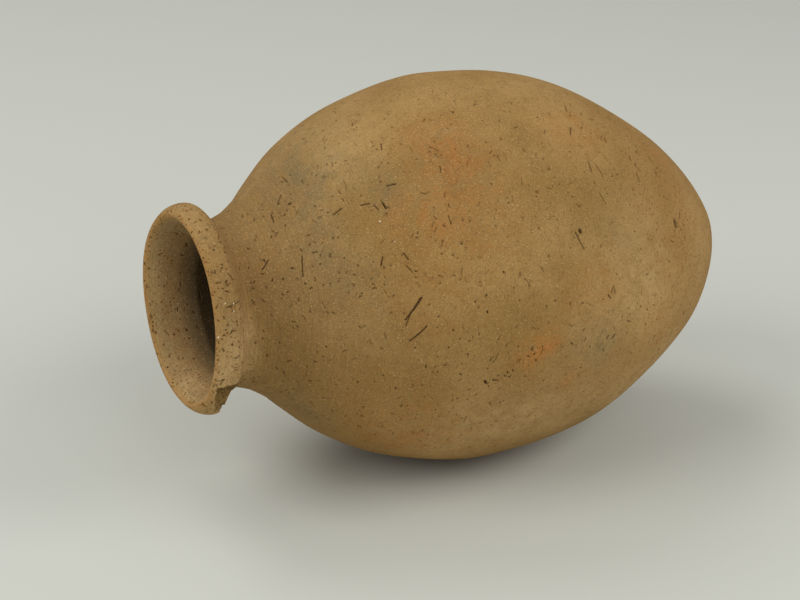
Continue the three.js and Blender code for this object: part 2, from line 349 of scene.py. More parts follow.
def press_straw(sheet):
    """Writes how deep each point of the sheet lies under the surface, and how dark its hollow is."""
    search_margin, soft_edge, steepness = 1, 0.15, 1.25
    points = np.zeros(len(sheet.vertices) * 3)
    sheet.vertices.foreach_get("co", points)
    turns, places = points.reshape(-1, 3)[:, 0], points.reshape(-1, 3)[:, 1] / MM
    order = np.argsort(places)
    depths, shades = np.zeros(len(order)), np.zeros(len(order))
    for straw in straws:
        place, _, _, length, half, depth, shade, _ = straw
        reach = length / 2 + half + search_margin
        first, last = np.searchsorted(places[order], (place - reach, place + reach))
        near = order[first:last]
        off = from_straw(straw, places[near], turns[near])
        dip = np.clip(steepness * (1 - (off / (half + soft_edge)) ** 2), 0, 1)
        depths[near] = np.maximum(depths[near], dip * depth)
        shades[near] = np.maximum(shades[near], dip * shade)
    for name, values in (("hollow", depths * MM), ("burnt_out", shades), ("along", places * MM)):
        sheet.attributes.new(name, "FLOAT", "POINT").data.foreach_set("value", values)


def add(tree, kind, links=None, **settings):
    """Adds a node with its settings, and gives each input a value or a link."""
    made = tree.nodes.new(kind)
    for name, value in settings.items():
        setattr(made, name, value)
    for socket, value in (links or {}).items():
        if isinstance(value, bpy.types.NodeSocket):
            tree.links.new(value, made.inputs[socket])
        else:
            made.inputs[socket].default_value = value
    return made


def new_tree(name, inputs):
    """A geometry tree with named inputs, which are (name, socket type)."""
    tree = bpy.data.node_groups.new(name, "GeometryNodeTree")
    tree.interface.new_socket("Geometry", in_out="OUTPUT", socket_type="NodeSocketGeometry")
    tree.interface.new_socket("Geometry", in_out="INPUT", socket_type="NodeSocketGeometry")
    for label, kind in inputs:
        tree.interface.new_socket(label, in_out="INPUT", socket_type=kind)
    return tree


def run_tree(obj, tree, values):
    """Runs the tree on the object with these inputs, and leaves the result as its plain mesh."""
    modifier = obj.modifiers.new(tree.name, "NODES")
    modifier.node_group = tree
    for item in tree.interface.items_tree:
        if item.in_out == "INPUT" and item.name in values:
            modifier[item.identifier] = values[item.name]
    graph = bpy.context.evaluated_depsgraph_get()
    result = bpy.data.meshes.new_from_object(obj.evaluated_get(graph), depsgraph=graph)
    obj.modifiers.remove(modifier)
    obj.data = result
    return obj


def wrapping_tree():
    """Bends the sheet round the jar's axis, so that it follows the outline, and welds it shut."""
    tree = new_tree("Wrap the clay sheet", [
        ("Outline", "NodeSocketObject"),
        ("Hand wobble", "NodeSocketFloat"),
        ("Wobble size", "NodeSocketFloat"),
        ("Wobble seed", "NodeSocketFloat"),
        ("Steady radius", "NodeSocketFloat"),
        ("Weld distance", "NodeSocketFloat"),
        ("Clay", "NodeSocketMaterial"),
    ])
    given = add(tree, "NodeGroupInput").outputs
    position = add(tree, "GeometryNodeInputPosition").outputs[0]
    flat = add(tree, "ShaderNodeSeparateXYZ", {0: position}).outputs
    hollow = add(tree, "GeometryNodeInputNamedAttribute", {"Name": "hollow"}, data_type="FLOAT").outputs[0]

    # Where the outline is at this point's way along it, and where it heads
    line = add(tree, "GeometryNodeObjectInfo", {"Object": given["Outline"]}).outputs["Geometry"]
    sample = add(tree, "GeometryNodeSampleCurve", {
        "Curves": line, "Length": flat[1]}, mode="LENGTH", use_all_curves=True).outputs
    spot = add(tree, "ShaderNodeSeparateXYZ", {0: sample["Position"]}).outputs
    heading = add(tree, "ShaderNodeSeparateXYZ", {0: sample["Tangent"]}).outputs
    cosine = add(tree, "ShaderNodeMath", {0: flat[0]}, operation="COSINE").outputs[0]
    sine = add(tree, "ShaderNodeMath", {0: flat[0]}, operation="SINE").outputs[0]
    facing = add(tree, "ShaderNodeCombineXYZ", {0: cosine, 1: sine}).outputs[0]

    # The uneven wall of a jar made by hand, which fades out towards the axis
    swept = add(tree, "ShaderNodeCombineXYZ", {0: cosine, 1: sine, 2: spot[2]}).outputs[0]
    where = add(tree, "ShaderNodeVectorMath", {0: swept, 1: (10, 10, 1)}, operation="DIVIDE").outputs[0]
    scale = add(tree, "ShaderNodeMath", {0: 1.0, 1: given["Wobble size"]}, operation="DIVIDE").outputs[0]
    rough = add(tree, "ShaderNodeTexNoise", {
        "Vector": where, "W": given["Wobble seed"], "Scale": scale, "Detail": 1.0},
        noise_dimensions="4D").outputs[0]
    below = add(tree, "ShaderNodeMath", {0: rough, 1: 0.75}, operation="SUBTRACT").outputs[0]
    full = add(tree, "ShaderNodeMath", {
        0: below, 1: given["Hand wobble"]}, operation="MULTIPLY").outputs[0]
    share = add(tree, "ShaderNodeMath", {
        0: spot[0], 1: given["Steady radius"]}, operation="DIVIDE").outputs[0]
    steady = add(tree, "ShaderNodeClamp", {0: share}).outputs[0]
    wobble = add(tree, "ShaderNodeMath", {0: full, 1: steady}, operation="MULTIPLY").outputs[0]

    # Hollows go in at a right angle to the outline
    inwards = add(tree, "ShaderNodeMath", {0: hollow, 1: heading[2]}, operation="MULTIPLY").outputs[0]
    upwards = add(tree, "ShaderNodeMath", {0: hollow, 1: heading[0]}, operation="MULTIPLY").outputs[0]
    pressed = add(tree, "ShaderNodeMath", {0: spot[0], 1: inwards}, operation="SUBTRACT").outputs[0]
    radius = add(tree, "ShaderNodeMath", {0: pressed, 1: wobble}, operation="ADD").outputs[0]
    height = add(tree, "ShaderNodeMath", {0: spot[2], 1: upwards}, operation="ADD").outputs[0]
    flung = add(tree, "ShaderNodeVectorMath", {0: facing, "Scale": radius}, operation="SCALE").outputs[0]
    raised = add(tree, "ShaderNodeCombineXYZ", {2: height}).outputs[0]
    bent = add(tree, "ShaderNodeVectorMath", {0: flung, 1: raised}, operation="ADD").outputs[0]
    moved = add(tree, "GeometryNodeSetPosition", {
        "Geometry": given["Geometry"], "Position": bent}).outputs[0]
    welded = add(tree, "GeometryNodeMergeByDistance", {
        "Geometry": moved, "Distance": given["Weld distance"]}).outputs[0]
    real = add(tree, "GeometryNodeRealizeInstances", {0: welded}).outputs[0]
    fired = add(tree, "GeometryNodeSetMaterial", {"Geometry": real, "Material": given["Clay"]}).outputs[0]
    add(tree, "NodeGroupOutput", {0: fired})
    return tree


# Where the hand-made jar leaves the true round: the base droops, and soft dents lie at (height,
# turn), reach so far along and round the jar, and push in by so much, all in mm and degrees. They
# are gone at the axis, and at their full depth so far from it
BASE_DROOP, DROOP_END, DROOP_WAY = 4.2, 78, (-0.8, -0.6)
SOFT_DENTS = [
    (300, 38, 30, 34, 2.4), (52, 235, 30, 45, -1.2), (32, 238, 14, 24, -1.3), (56, 8, 30, 45, 2.2),
    (9, 232, 8, 14, 1.3), (246, 225, 18, 24, -1.4), (98, 228, 28, 40, -1.1), (30, 330, 14, 20, 0.8),
    (14, 346, 9, 16, 1.5), (205, 60, 30, 45, 0.8), (120, 120, 40, 50, 0.9), (235, 150, 30, 50, 0.9),
    (60, 150, 30, 45, 1.2), (294.6, 257, 1.3, 15, -0.55), (270, 300, 2.5, 30, -0.3),
    (279, 330, 2.0, 26, -0.3), (301, 206, 7, 20, -1.0),
]
DENTED_FROM = 20

# The broken clay is lumpy and gritty: lumps and grit per mm, how far each stands out, how far the
# edge strays in mm and in radians, and the roughness, fineness and layers of their noise. Crumbs at
# the edge are shifted so far, by a noise with a fixed seed, where this much clay or more is gone
LUMPS, GRIT = 0.4, 1.3
LUMP_HEIGHT, GRIT_HEIGHT = 0.6, 0.35
EDGE_STRAYS, EDGE_TURNS = 0.35, 0.003
CRUMBLING = (0.8, 2.1, 3)
SHIFT_SEED, SHIFTS_PER_MM, SHIFT, FULL_SHIFT_FROM = 4, 1.2, 0.3, 0.5
OUTER_SKIN = 3


def push_in(points, height):
    """Pushes the soft dents into the points."""
    turn = np.arctan2(points[:, 1], points[:, 0])
    radius = np.hypot(points[:, 0], points[:, 1])
    for dent_height, dent_turn, along, round_way, push in SOFT_DENTS:
        apart = np.mod(turn - math.radians(dent_turn) + math.pi, 2 * math.pi) - math.pi
        east = apart * radius_at(way_outside(dent_height))
        felt = np.exp(-(((height - dent_height) / along) ** 2) - (east / round_way) ** 2)
        radius -= push * felt * np.clip(radius / DENTED_FROM, 0, 1)
    points[:, 0], points[:, 1] = radius * np.cos(turn), radius * np.sin(turn)
    return turn, radius


def shape_by_hand(points):
    """Dents the wall, droops the base and breaks the rim. Points are in mm, in the jar's own frame."""
    height = points[:, 2].copy()
    turn, radius = push_in(points, height)
    droop = BASE_DROOP * np.clip(1 - height / DROOP_END, 0, 1) ** 2
    points[:, 0] += droop * DROOP_WAY[0]
    points[:, 1] += droop * DROOP_WAY[1]
    below = LIP_HEIGHT - height
    broken = np.zeros(len(points))
    skin = radius > np.interp(height, outside[:, 1], outside[:, 0]) - OUTER_SKIN
    touched = (below < BREAK_BELOW) & skin & (width_left(turn, below) < WIDER_THAN_ANY)
    noise.seed_set(SHIFT_SEED)
    for i in np.nonzero(touched)[0]:
        lumpy = noise.fractal(Vector(points[i]) * LUMPS, *CRUMBLING)
        gritty = noise.fractal(Vector(points[i]) * GRIT, *CRUMBLING)
        limit = width_left(turn[i] + EDGE_TURNS * gritty, below[i] + EDGE_STRAYS * lumpy)
        limit = limit + LUMP_HEIGHT * lumpy + GRIT_HEIGHT * gritty
        if radius[i] > limit:
            points[i, :2] *= limit / radius[i]
            broken[i] = min(1.0, (radius[i] - limit) / FULL_SHIFT_FROM)
            shift = np.array(noise.noise_vector(Vector(points[i]) * SHIFTS_PER_MM))
            points[i] += shift * SHIFT * broken[i]
    return points, turn, height, broken


# Firing marks as (height, turn, reach along, reach round, strength) in mm and degrees: blushes where
# the fire reached the clay, clouds where smoke lay against it, and tone marks, partly the clay's own
# uneven tone and partly painted shade and painted light, darker where the strength is above zero and
# paler where it is below
BLUSHES = [
    (194, 330, 16, 18, 0.9), (214, 312, 18, 14, 0.8), (186, 318, 16, 18, 0.6), (168, 265, 10, 9, 1.2),
    (160, 269, 8, 8, 0.9), (145, 255, 6, 7, 0.8), (131, 281, 20, 14, 0.55), (222, 285, 20, 20, 0.35),
    (120, 330, 20, 16, 0.45), (60, 330, 16, 14, 0.35), (100, 60, 40, 40, 0.6), (210, 110, 30, 40, 0.7),
    (150, 190, 40, 30, 0.6), (285, 315, 14, 10, 0.4), (150, 20, 30, 30, 0.3), (215, 238, 30, 26, 0.5),
    (203, 225, 25, 30, 0.4), (62, 300, 30, 40, 0.4), (90, 260, 22, 20, 0.45), (190, 300, 24, 20, 0.3),
]
CLOUDS = [
    (246, 8, 16, 20, 0.7), (255, 330, 12, 14, 0.75), (257, 296, 16, 14, 0.6), (238, 340, 12, 14, 0.6),
    (136, 264, 15, 14, 0.8), (122, 262, 11, 11, 0.5), (258, 219, 10, 18, 0.9), (226, 322, 9, 14, 0.8),
    (240, 290, 12, 14, 0.45), (112, 295, 22, 18, 0.35), (200, 150, 30, 40, 0.7), (90, 190, 25, 35, 0.7),
    (50, 60, 25, 25, 0.5), (253, 350, 12, 16, 0.8), (259, 314, 9, 12, 0.7), (302, 275, 4, 16, 0.8),
    (303, 322, 3, 14, 0.5),
]
# Painted shade and painted light among the tone marks: the darker ones on the neck and shoulder under the
# rim stand in for the rim's shade, and the paler ones on the underside towards the base, on the neck under
# the rim and in the lower lip of the mouth stand in for light falling there
TONES_AND_PAINTED_LIGHT = [
    (284, 325, 9, 36, 0.7), (280, 266, 12, 24, 0.6), (274, 312, 12, 24, 0.25), (195, 321, 24, 26, 0.8),
    (304, 250, 8, 26, -1.2), (307, 350, 6, 24, -0.5), (228, 4, 24, 30, -0.5), (240, 340, 16, 20, -0.3),
    (40, 283, 22, 26, -0.5), (100, 289, 20, 22, -0.5), (190, 222, 20, 24, -0.8), (292, 257, 10, 20, -2.2),
    (145, 246, 22, 22, -0.4), (120, 120, 40, 60, 0.4), (220, 190, 30, 40, 0.4), (60, 170, 30, 40, -0.4),
    (305, 88, 5, 40, -0.8), (303, 182, 9, 32, -1.6), (305, 300, 4, 16, 0.6), (235, 275, 18, 18, 0.4),
    (190, 240, 24, 24, -0.7), (166, 241, 18, 20, -0.6), (110, 273, 26, 24, -0.7), (85, 268, 18, 20, -0.4),
    (95, 238, 34, 18, -0.9), (60, 244, 20, 16, -0.5), (140, 232, 24, 14, -0.5),
]


def fire_marks(marks, turn, height):
    """How strongly a list of marks shows at each point, all of them together."""
    total = np.zeros(len(turn))
    for mark_height, mark_turn, along, round_way, strength in marks:
        apart = np.mod(turn - math.radians(mark_turn) + math.pi, 2 * math.pi) - math.pi
        east = apart * radius_at(way_outside(mark_height))
        total += strength * np.exp(-(((height - mark_height) / along) ** 2) - (east / round_way) ** 2)
    return total


def srgb(text):
    """A colour written as RRGGBB, as the linear values that a shader takes."""
    parts = [int(text[i:i + 2], 16) / 255 for i in (0, 2, 4)]
    return tuple(p / 12.92 if p <= 0.04045 else ((p + 0.055) / 1.055) ** 2.4 for p in parts) + (1.0,)


def per_metre(size_mm):
    """The scale of a pattern whose features are this many millimetres across."""
    return 1 / (size_mm * MM)


def earthenware():
    """Low-fired buff earthenware: it looks dry and matt, mottled brown, and sandy from close by."""
    made = bpy.data.materials.new("straw-tempered earthenware, low fired")
    made.use_nodes = True
    tree = made.node_tree
    tree.nodes.clear()
    place = add(tree, "ShaderNodeTexCoord").outputs["Object"]
    shown = {}

    # What is written on each point of the clay
    for name in ("along", "round_x", "round_y", "blush", "cloud", "tone_and_painted_light", "wiped", "specked", "broken",
                 "burnt_out"):
        shown[name] = add(tree, "ShaderNodeAttribute", attribute_name=name).outputs["Fac"]

    # Patterns: how many mm across, how detailed and how rough, from which value of the noise to which
    # they come in, and how much they are worth at either end. Silt, sand and fine grain are finer than
    # this in real clay, too fine to show, and are drawn as coarse as they need to be
    patterns = {
        "mottling": (34, 3, 0.5, 0.38, 0.64, 0, 1),
        "darker patches": (9, 4, 0.6, 0.45, 0.7, 0, 1),
        "ragged blush": (9, 5, 0.7, 0.36, 0.62, 0, 1),
        "ragged smoke": (11, 5, 0.7, 0.36, 0.62, 0, 1),
        "red patches": (8, 3, 0.5, 0.32, 0.56, 0, 1),
        "uneven": (7, 4, 0.6, 0.34, 0.6, 0.45, 1),
        "worn lip": (5, 3, 0.5, 0.35, 0.6, 0.2, 0.7),
        "silt": (2.6, 4, 0.7, 0.5, 0.72, 0, 1),
        "dark sand": (1.0, 3, 0.7, 0.54, 0.68, 0, 1),
        "pale sand": (0.8, 2, 0.6, 0.57, 0.7, 0, 1),
        "straying": (8, 1, 0.5, 0, 1, 0, 6 * MM),
        "crumbs": (1.3, 4, 0.7, 0.34, 0.54, 0, 1),
        "fine grain": (0.7, 3, 0.65, 0, 1, 0, 1),
        "coarse grain": (5, 2, 0.5, 0, 1, 0, 1.2),
        "dryness": (3, 3, 0.5, 0.3, 0.7, 0.84, 0.97),
    }
    for name, (size, detail, roughness, low, high, least, most) in patterns.items():
        speckle = add(tree, "ShaderNodeTexNoise", {
            "Vector": place, "Scale": per_metre(size), "Detail": detail, "Roughness": roughness}).outputs[0]
        shown[name] = add(tree, "ShaderNodeMapRange", {
            0: speckle, 1: low, 2: high, 3: least, 4: most}).outputs[0]

    # Lines drawn out the way round the jar: what they climb along, how many there are on a turn, how
    # thick they are in mm, from which value to which they come in, and how much they are worth at least
    strayed = add(tree, "ShaderNodeMath", {
        0: shown["along"], 1: shown["straying"]}, operation="ADD").outputs[0]
    lines = {
        "wiping lines": (shown["along"], 14, 0.9, 0.38, 0.64, 0.25),
        "pressed straw": (strayed, 280, 0.7, 0.64, 0.72, 0),
    }
    for name, (climb, on_a_turn, thick, low, high, least) in lines.items():
        spot = add(tree, "ShaderNodeCombineXYZ", {
            0: shown["round_x"], 1: shown["round_y"], 2: climb}).outputs[0]
        spread = on_a_turn / (2 * math.pi)
        drawn = add(tree, "ShaderNodeVectorMath", {
            0: spot, 1: (spread, spread, per_metre(thick))}, operation="MULTIPLY").outputs[0]
        line = add(tree, "ShaderNodeTexNoise", {"Vector": drawn, "Scale": 1.0, "Detail": 2.0}).outputs[0]
        shown[name] = add(tree, "ShaderNodeMapRange", {0: line, 1: low, 2: high, 3: least}).outputs[0]

    # Specks of burnt chaff, too small to be hollows: one to a cell, strayed from its regular place, in
    # some of the cells only, each with its own size and darkness
    speck_cell, speck_bend = 1.9, 1.6
    speck_stray = (1.1 * MM, 1.1 * MM, 1.1 * MM)
    stray = add(tree, "ShaderNodeTexNoise", {
        "Vector": place, "Scale": per_metre(speck_bend), "Detail": 2.0}).outputs["Color"]
    strayed_place = add(tree, "ShaderNodeVectorMath", {
        0: stray, 1: speck_stray, 2: place}, operation="MULTIPLY_ADD").outputs[0]
    chaff = add(tree, "ShaderNodeTexVoronoi", {
        "Vector": strayed_place, "Scale": per_metre(speck_cell)}).outputs
    lot = add(tree, "ShaderNodeSeparateColor", {0: chaff["Color"]}).outputs
    size = add(tree, "ShaderNodeMapRange", {0: lot[0], 1: 0.4, 2: 1.0, 3: 0.07, 4: 0.27}).outputs[0]
    larger = add(tree, "ShaderNodeMapRange", {
        0: shown["specked"], 1: 0, 2: 1, 3: 0.55, 4: 1.45}).outputs[0]
    reach = add(tree, "ShaderNodeMath", {0: size, 1: larger}, operation="MULTIPLY").outputs[0]
    within = add(tree, "ShaderNodeMath", {0: reach, 1: chaff["Distance"]}, operation="SUBTRACT").outputs[0]

    # Zones: a measure, from which value to which it counts, and what it is worth at either end. The
    # inside of the mouth is grey, then reddened, then darker further in
    into = add(tree, "ShaderNodeMath", {
        0: shown["along"], 1: lip_way * MM}, operation="SUBTRACT").outputs[0]
    from_lip = add(tree, "ShaderNodeMath", {0: into}, operation="ABSOLUTE").outputs[0]
    zones = {
        "grey lining": (into, 2.5 * MM, 5 * MM, 0, 1),
        "red lining": (into, 7 * MM, 12 * MM, 0, 1),
        # The clay colour turns darker further into the mouth
        "not yet darker far in": (into, 23 * MM, 17 * MM, 0, 1),
        "darker far in": (into, 17 * MM, 27 * MM, 0, 1),
        "lip": (from_lip, 3.4 * MM, 0.8 * MM, 0, 1),
        # The darker and paler zones follow the tone marks, so they carry painted shade and painted light as
        # well as the clay's uneven tone
        "darker": (shown["tone_and_painted_light"], 0, 1, 0, 1),
        "paler": (shown["tone_and_painted_light"], 0, -1.6, 0, 1),
        "chaff": (lot[0], 0.38, 0.4, 0, 1),
        "scorched ring": (within, -0.2, 0.02, 0, 1),
        "burnt speck": (within, 0, 0.06, 0, 1),
        "how burnt": (lot[1], 0, 1, 0.35, 0.9),
    }
    for name, (measure, low, high, least, most) in zones.items():
        shown[name] = add(tree, "ShaderNodeMapRange", {
            0: measure, 1: low, 2: high, 3: least, 4: most}).outputs[0]

    # Coats of colour, each over the ones before it: how much of it there is, and what it follows
    crumbs = add(tree, "ShaderNodeMix", {
        0: shown["crumbs"], 6: srgb("4a3822"), 7: srgb("987948")}, data_type="RGBA").outputs[2]
    coats = [
        (srgb("a5824e"), 1, ["mottling"]),
        (srgb("896939"), 0.5, ["darker patches"]),
        (srgb("b1763a"), 0.85, ["blush", "ragged blush"]),
        (srgb("70684a"), 0.6, ["cloud", "ragged smoke"]),
        (srgb("88734f"), 0.7, ["grey lining"]),
        (srgb("80592f"), 0.55, ["red lining", "not yet darker far in", "red patches"]),
        (srgb("4c4435"), 0.8, ["darker far in"]),
        # Painted shade and painted light: these darker and paler coats follow the tone marks, besides the
        # clay's uneven tone
        (srgb("6f5532"), 0.5, ["darker", "uneven"]),
        (srgb("c8a671"), 0.92, ["paler", "uneven"]),
        (srgb("b3834a"), 1, ["lip", "worn lip"]),
        (srgb("7a603c"), 0.5, ["wiped", "wiping lines"]),
        (srgb("7d5f34"), 0.35, ["silt"]),
        (srgb("6b5130"), 0.6, ["dark sand"]),
        (srgb("c6a772"), 0.5, ["pale sand"]),
        (srgb("5d4526"), 0.45, ["pressed straw"]),
        (srgb("a5652e"), 0.3, ["chaff", "scorched ring"]),
        (srgb("35240f"), 1, ["chaff", "burnt speck", "how burnt"]),
        (crumbs, 1, ["broken"]),
        (srgb("35240f"), 0.8, ["burnt_out"]),
    ]
    colour = srgb("967440")
    for coat, amount, follows in coats:
        for name in follows:
            amount = add(tree, "ShaderNodeMath", {
                0: shown[name], 1: amount}, operation="MULTIPLY").outputs[0]
        colour = add(tree, "ShaderNodeMix", {0: amount, 6: colour, 7: coat}, data_type="RGBA").outputs[2]

    # The skin is grainy, and a little sunk where straw was wiped flat
    grain = add(tree, "ShaderNodeMath", {
        0: shown["fine grain"], 1: shown["coarse grain"]}, operation="ADD").outputs[0]
    relief = add(tree, "ShaderNodeMath", {
        0: shown["pressed straw"], 1: -0.5, 2: grain}, operation="MULTIPLY_ADD").outputs[0]
    bumps = add(tree, "ShaderNodeBump", {
        "Strength": 0.6, "Distance": 0.35 * MM, "Height": relief}).outputs[0]
    surface = add(tree, "ShaderNodeBsdfPrincipled", {
        "Base Color": colour, "Roughness": shown["dryness"], "IOR": 1.45, "Specular IOR Level": 0.15,
        "Normal": bumps})
    add(tree, "ShaderNodeOutputMaterial", {"Surface": surface.outputs[0]})
    return made


clay = earthenware()
clay_sheet = lay_sheet()
press_straw(clay_sheet)
pot = bpy.data.objects.new("pot", clay_sheet)
bpy.context.scene.collection.objects.link(pot)

line = bpy.data.curves.new("outline", "CURVE")
line.dimensions = "3D"
spline = line.splines.new("POLY")
spline.points.add(len(outline) - 1)
drawn_points = np.stack([outline[:, 0] * MM, np.zeros(len(way)), outline[:, 1] * MM, np.ones(len(way))], 1)
spline.points.foreach_set("co", drawn_points.ravel())
outline_object = bpy.data.objects.new("outline", line)
bpy.context.scene.collection.objects.link(outline_object)

run_tree(pot, wrapping_tree(), {
    "Outline": outline_object, "Hand wobble": 1.3 * MM, "Wobble size": 62 * MM, "Wobble seed": 3.0,
    "Steady radius": 24 * MM, "Weld distance": 0.001 * MM, "Clay": clay})
bpy.data.objects.remove(outline_object)


def read(mesh, name, width=1, kind=float):
    """One attribute of every point or face of the mesh."""
    source = mesh.attributes[name]
    values = np.zeros(len(source.data) * width, kind)
    source.data.foreach_get("vector" if width == 3 else "value", values)
    return values.reshape(-1, width) if width > 1 else values


def lie_down(points):
    """From the jar's own frame, in mm, to where it lies, in metres: mouth along -X, a little raised."""
    tip = max((v.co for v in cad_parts["base"].data.vertices), key=lambda co: co.x)
    axis = np.array([-math.cos(LYING_TILT), 0, math.sin(LYING_TILT)])
    up = np.array([math.sin(LYING_TILT), 0, math.cos(LYING_TILT)])
    away = np.array([0, 1, 0])
    laid = np.array(tip) + MM * (points[:, 2:] * axis + points[:, :1] * up + points[:, 1:2] * away)
    laid[:, 2] = np.maximum(laid[:, 2], 0)
    return laid


points = read(pot.data, "position", 3) / MM
points, turn, height, broken = shape_by_hand(points)
radius = np.hypot(points[:, 0], points[:, 1])
skin = np.interp(height, outside[:, 1], outside[:, 0])

# Firing marks fade out down the mouth, on what lies well under the skin
deep_in = fade(skin - radius, 3, 5) * fade(LIP_HEIGHT - height, 9, 25)
looks = {
    "burnt_out": read(pot.data, "burnt_out"),
    "blush": fire_marks(BLUSHES, turn, height) * (1 - deep_in),
    "cloud": fire_marks(CLOUDS, turn, height) * (1 - deep_in),
    # Tone marks: the clay's uneven tone, with painted shade and painted light
    "tone_and_painted_light": fire_marks(TONES_AND_PAINTED_LIGHT, turn, height) * (1 - deep_in),
    "broken": broken,
    "wiped": fade(height, 236, 266) * fade(LIP_HEIGHT - height, -4, 10),
    "specked": fade(height, 282, 292) + 0.5 * fade(height, 110, 90),
    "along": read(pot.data, "along"),
    "round_x": np.cos(turn),
    "round_y": np.sin(turn),
}
pot.data.vertices.foreach_set("co", lie_down(points).ravel())
pot.data.update()
whole_normals = np.zeros(len(pot.data.vertices) * 3)
pot.data.vertex_normals.foreach_get("vector", whole_normals)
whole_normals = whole_normals.reshape(-1, 3)


def open_rings(work):
    """The closed loops of open edges, from the base end to the mouth end."""
    left = {edge for edge in work.edges if edge.is_boundary}
    rings = []
    while left:
        ring, reach = [], [left.pop()]
        while reach:
            edge = reach.pop()
            ring.append(edge)
            for vertex in edge.verts:
                for other in vertex.link_edges:
                    if other in left:
                        left.remove(other)
                        reach.append(other)
        rings.append(ring)
    return sorted(rings, key=lambda ring: -sum(e.verts[0].co.x for e in ring) / len(ring))


def cut_stage(number):
    """One stage of clay, cut out of the whole wall and closed with its slanted joint faces."""
    mesh = pot.data
    loops = np.zeros(len(mesh.loops), int)
    mesh.loops.foreach_get("vertex_index", loops)
    starts, counts = np.zeros(len(mesh.polygons), int), np.zeros(len(mesh.polygons), int)
    mesh.polygons.foreach_get("loop_start", starts)
    mesh.polygons.foreach_get("loop_total", counts)
    kept = read(mesh, "stage", kind=np.int32) == number
    in_stage = np.repeat(kept, counts)
    used, corners = np.unique(loops[in_stage], return_inverse=True)
    places = read(mesh, "position", 3)[used]
    ends = np.cumsum(counts[kept])
    faces = np.split(corners, ends[:-1])
    stage = bpy.data.meshes.new(STAGES[number])
    stage.from_pydata(places.tolist(), [], [face.tolist() for face in faces])
    for name, values in looks.items():
        stage.attributes.new(name, "FLOAT", "POINT").data.foreach_set("value", values[used])
    work = bmesh.new()
    work.from_mesh(stage)
    rings = open_rings(work)
    for lower, upper in zip(rings[::2], rings[1::2]):
        bmesh.ops.bridge_loops(work, edges=lower + upper)
    bmesh.ops.recalc_face_normals(work, faces=work.faces)
    work.to_mesh(stage)
    work.free()
    stage.materials.append(clay)
    stage.polygons.foreach_set("use_smooth", np.ones(len(stage.polygons), bool))
    stage.normals_split_custom_set_from_vertices(whole_normals[used])
    piece = bpy.data.objects.new(STAGES[number] + "_clay", stage)
    bpy.context.scene.collection.objects.link(piece)
    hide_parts(STAGES[number])
    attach(piece, "root")


for number in range(len(STAGES)):
    cut_stage(number)

# Sand in the clay: pale grains of quartz that show at the surface, most of them under half a
# millimetre across. They are strewn at random, and the brightest ones sit where they are seen.
SEEN_GRAINS = [
    (304.1, 292.8), (300.4, 292.2), (300.5, 288.1), (307.5, 259.6), (308.4, 275.2), (227.9, 304.2),
    (232.3, 312.3),
]
GRAINS_PER_SQUARE_METRE, GRAIN_SEED = 2600.0, 5
GRAIN_SIZES, SEEN_GRAIN_SIZES = (0.2 * MM, 0.6 * MM), (0.6 * MM, 1.3 * MM)
GRAIN_SINKS, SEEN_GRAIN_SINKS = 0.12 * MM, 0.05 * MM
GRAIN_ROOM = 1 * MM
FULL_TURN = 6.28
FAR_SIDE = 1000


def strewing_tree():
    """Strews small uneven stones over a surface, and sets larger ones at the points of an object."""
    tree = new_tree("Strew sand grains", [
        ("Seen grains", "NodeSocketObject"),
        ("Grains per square metre", "NodeSocketFloat"),
        ("Smallest", "NodeSocketFloat"),
        ("Largest", "NodeSocketFloat"),
        ("Seen smallest", "NodeSocketFloat"),
        ("Seen largest", "NodeSocketFloat"),
        ("Sunk", "NodeSocketFloat"),
        ("Seed", "NodeSocketInt"),
        ("Quartz", "NodeSocketMaterial"),
    ])
    given = add(tree, "NodeGroupInput").outputs
    showing = add(tree, "GeometryNodeInputNamedAttribute", {
        "Name": "showing"}, data_type="FLOAT").outputs[0]
    strewn = add(tree, "GeometryNodeDistributePointsOnFaces", {
        "Mesh": given["Geometry"], "Selection": showing, "Density": given["Grains per square metre"],
        "Seed": given["Seed"]}).outputs
    down = add(tree, "ShaderNodeVectorMath", {
        0: strewn["Normal"], "Scale": given["Sunk"]}, operation="SCALE").outputs[0]
    sunk = add(tree, "GeometryNodeSetPosition", {"Geometry": strewn["Points"], "Offset": down}).outputs[0]
    seen = add(tree, "GeometryNodeObjectInfo", {"Object": given["Seen grains"]}).outputs["Geometry"]
    seen = add(tree, "GeometryNodeMeshToPoints", {"Mesh": seen}).outputs[0]
    stone = add(tree, "GeometryNodeMeshIcoSphere", {"Radius": 0.5, "Subdivisions": 1}).outputs["Mesh"]
    turned = add(tree, "FunctionNodeRandomValue", {
        1: (FULL_TURN, FULL_TURN, FULL_TURN), "Seed": given["Seed"]}, data_type="FLOAT_VECTOR")
    both = add(tree, "GeometryNodeJoinGeometry")
    for spots, small, large in ((sunk, "Smallest", "Largest"), (seen, "Seen smallest", "Seen largest")):
        sized = add(tree, "FunctionNodeRandomValue", {
            0: given[small], 1: given[large], "Seed": given["Seed"]}, data_type="FLOAT_VECTOR")
        stones = add(tree, "GeometryNodeInstanceOnPoints", {
            "Points": spots, "Instance": stone, "Rotation": turned.outputs[0], "Scale": sized.outputs[0]})
        tree.links.new(stones.outputs[0], both.inputs[0])
    real = add(tree, "GeometryNodeRealizeInstances", {0: both.outputs[0]}).outputs[0]
    pale = add(tree, "GeometryNodeSetMaterial", {"Geometry": real, "Material": given["Quartz"]}).outputs[0]
    add(tree, "NodeGroupOutput", {0: pale})
    return tree


